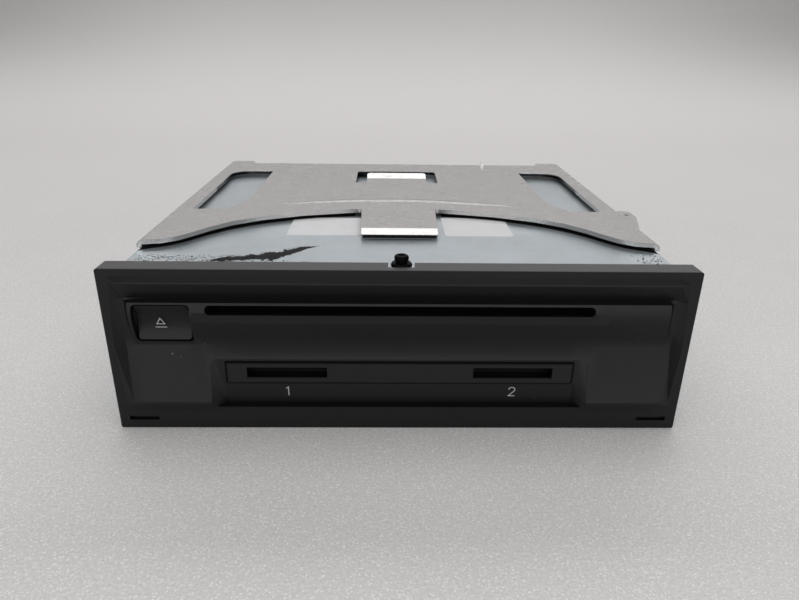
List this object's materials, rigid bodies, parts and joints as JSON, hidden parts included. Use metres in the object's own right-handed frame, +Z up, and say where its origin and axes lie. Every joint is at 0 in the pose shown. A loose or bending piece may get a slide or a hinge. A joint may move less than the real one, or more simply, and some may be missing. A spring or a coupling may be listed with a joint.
{
  "type": "slot-loading disc drive",
  "caption": "Slot-loading car disc drive with a moulded front, eject button, card slots, steel case and a formed mounting bracket on top.",
  "frame": {"origin": "centre of the chassis's underside, on the drive's plane of symmetry", "axes": "+X to the right seen from the front, +Y from the front to the rear, +Z up"},
  "size_m": [0.1895, 0.183, 0.0599],
  "materials": {
    "black_plastic": "fine satin moulding",
    "strip_plastic": "satin",
    "button_plastic": "satin",
    "galvanised": "zinc-plated sheet",
    "plate_steel": "zinc-plated plate, satin",
    "bright_steel": "bright",
    "brass": "turned",
    "black_aluminium": "black anodised",
    "die_casting": "as cast",
    "circuit_board": "coated laminate",
    "rubber": "soft",
    "felt": "short pile",
    "white_plastic": "acetal",
    "lens": "clear lens in its holder"
  },
  "bodies": {
    "casing": {"front_bezel": "black_plastic", "card_slot_strip": "strip_plastic", "slot_felt_upper": "felt", "slot_felt_lower": "felt", "top_cover": "galvanised", "locating_stud": "black_plastic", "mounting_bracket": "plate_steel", "chassis_tray": "galvanised", "button_board": "circuit_board", "main_board": "circuit_board", "card_board": "circuit_board", "card_socket_1": "bright_steel", "card_socket_2": "bright_steel", "main_connector": "black_plastic", "side_connector": "white_plastic", "rear_cooler": "black_aluminium", "damper_front_left": "rubber", "side_screw_front_left": "bright_steel", "damper_front_right": "rubber", "side_screw_front_right": "bright_steel", "damper_rear_left": "rubber", "side_screw_rear_left": "bright_steel", "damper_rear_right": "rubber", "side_screw_rear_right": "bright_steel", "rear_screw_left": "bright_steel", "rear_screw_right": "bright_steel"},
    "deck": {"deck_frame": "galvanised", "spindle_motor": "bright_steel", "guide_rod_main": "bright_steel", "guide_rod_sub": "bright_steel", "sled_motor": "bright_steel", "disc_guide": "black_plastic", "feed_motor": "bright_steel", "roller_bush_left": "brass", "roller_bush_right": "brass"},
    "eject_button": {"eject_button": "button_plastic"},
    "card_slider_1": {"card_slider_1": "white_plastic"},
    "card_slider_2": {"card_slider_2": "white_plastic"},
    "roller": {"roller_shaft": "bright_steel", "roller_sleeve_left": "rubber", "roller_sleeve_right": "rubber", "roller_gear": "white_plastic"},
    "idler_gear": {"idler_gear": "white_plastic"},
    "double_gear": {"double_gear": "white_plastic"},
    "motor_pinion": {"motor_pinion": "brass"},
    "turntable": {"turntable": "black_plastic"},
    "clamp_arm": {"clamp_arm": "plate_steel"},
    "clamper": {"clamper": "black_plastic"},
    "cam_slider": {"cam_slider": "white_plastic"},
    "pickup_sled": {"pickup_sled": "die_casting", "objective_lens": "lens"},
    "lead_screw": {"lead_screw": "bright_steel"},
    "disc_feeler_left": {"disc_feeler_left": "white_plastic"},
    "disc_feeler_right": {"disc_feeler_right": "white_plastic"}
  },
  "joints": [
    {"name": "eject_button_press", "type": "slide", "parent": "casing", "child": "eject_button", "axis": [0, 1, 0], "range_m": [0, 0.001], "stiffness_N_per_m": 600, "springref_m": -0.0005},
    {"name": "card_slider_1_push", "type": "slide", "parent": "casing", "child": "card_slider_1", "axis": [0, 1, 0], "range_m": [0, 0.0018], "stiffness_N_per_m": 200, "springref_m": -0.001},
    {"name": "card_slider_2_push", "type": "slide", "parent": "casing", "child": "card_slider_2", "axis": [0, 1, 0], "range_m": [0, 0.0018], "stiffness_N_per_m": 200, "springref_m": -0.001},
    {"name": "deck_bounce", "type": "slide", "parent": "casing", "child": "deck", "axis": [0, 0, 1], "range_m": [-0.001, 0.001], "stiffness_N_per_m": 6000, "springref_m": 0.00053, "deforming": ["damper_front_left", "damper_front_right", "damper_rear_left", "damper_rear_right"]},
    {"name": "roller_spin", "type": "hinge", "parent": "deck", "child": "roller", "pos_m": [0, -0.066, 0.0389], "axis": [1, 0, 0], "continuous": true},
    {"name": "idler_gear_spin", "type": "hinge", "parent": "deck", "child": "idler_gear", "pos_m": [0.0684, -0.05668, 0.0299], "axis": [1, 0, 0], "continuous": true},
    {"name": "double_gear_spin", "type": "hinge", "parent": "deck", "child": "double_gear", "pos_m": [0.07, -0.04481, 0.02907], "axis": [1, 0, 0], "continuous": true},
    {"name": "motor_pinion_spin", "type": "hinge", "parent": "deck", "child": "motor_pinion", "pos_m": [0.072, -0.03055, 0.02552], "axis": [1, 0, 0], "continuous": true},
    {"name": "turntable_spin", "type": "hinge", "parent": "deck", "child": "turntable", "pos_m": [0, -0.008, 0.0429], "axis": [0, 0, 1], "continuous": true},
    {"name": "cam_slide", "type": "slide", "parent": "deck", "child": "cam_slider", "axis": [0, 1, 0], "range_m": [0, 0.008]},
    {"name": "clamp_arm_swing", "type": "hinge", "parent": "deck", "child": "clamp_arm", "pos_m": [0, 0.062, 0.0453], "axis": [1, 0, 0], "range_deg": [0, 1.56]},
    {"name": "clamper_spin", "type": "hinge", "parent": "clamp_arm", "child": "clamper", "pos_m": [0, -0.008, 0.0469], "axis": [0, 0, 1], "continuous": true},
    {"name": "sled_slide", "type": "slide", "parent": "deck", "child": "pickup_sled", "axis": [0, 1, 0], "range_m": [0, 0.034]},
    {"name": "lead_screw_spin", "type": "hinge", "parent": "deck", "child": "lead_screw", "pos_m": [-0.031, 0.032, 0.0392], "axis": [0, 1, 0], "range_deg": [0, 4081]},
    {"name": "disc_feeler_left_swing", "type": "hinge", "parent": "deck", "child": "disc_feeler_left", "pos_m": [-0.0515, -0.068, 0.0469], "axis": [0, 0, 1], "range_deg": [-25, 0], "stiffness_Nm_per_rad": 0.002, "springref_deg": 11.46},
    {"name": "disc_feeler_right_swing", "type": "hinge", "parent": "deck", "child": "disc_feeler_right", "pos_m": [0.0515, -0.068, 0.0469], "axis": [0, 0, 1], "range_deg": [0, 25], "stiffness_Nm_per_rad": 0.002, "springref_deg": -11.46}
  ],
  "couplings": [
    {"joint": "idler_gear_spin", "follows": "roller_spin", "ratio": -0.85},
    {"joint": "double_gear_spin", "follows": "roller_spin", "ratio": 1.2143},
    {"joint": "motor_pinion_spin", "follows": "roller_spin", "ratio": -3.0357},
    {"joint": "clamp_arm_swing", "follows": "cam_slide", "rad_per_m": 3.3816},
    {"joint": "lead_screw_spin", "follows": "sled_slide", "rad_per_m": 2094.4}
  ]
}
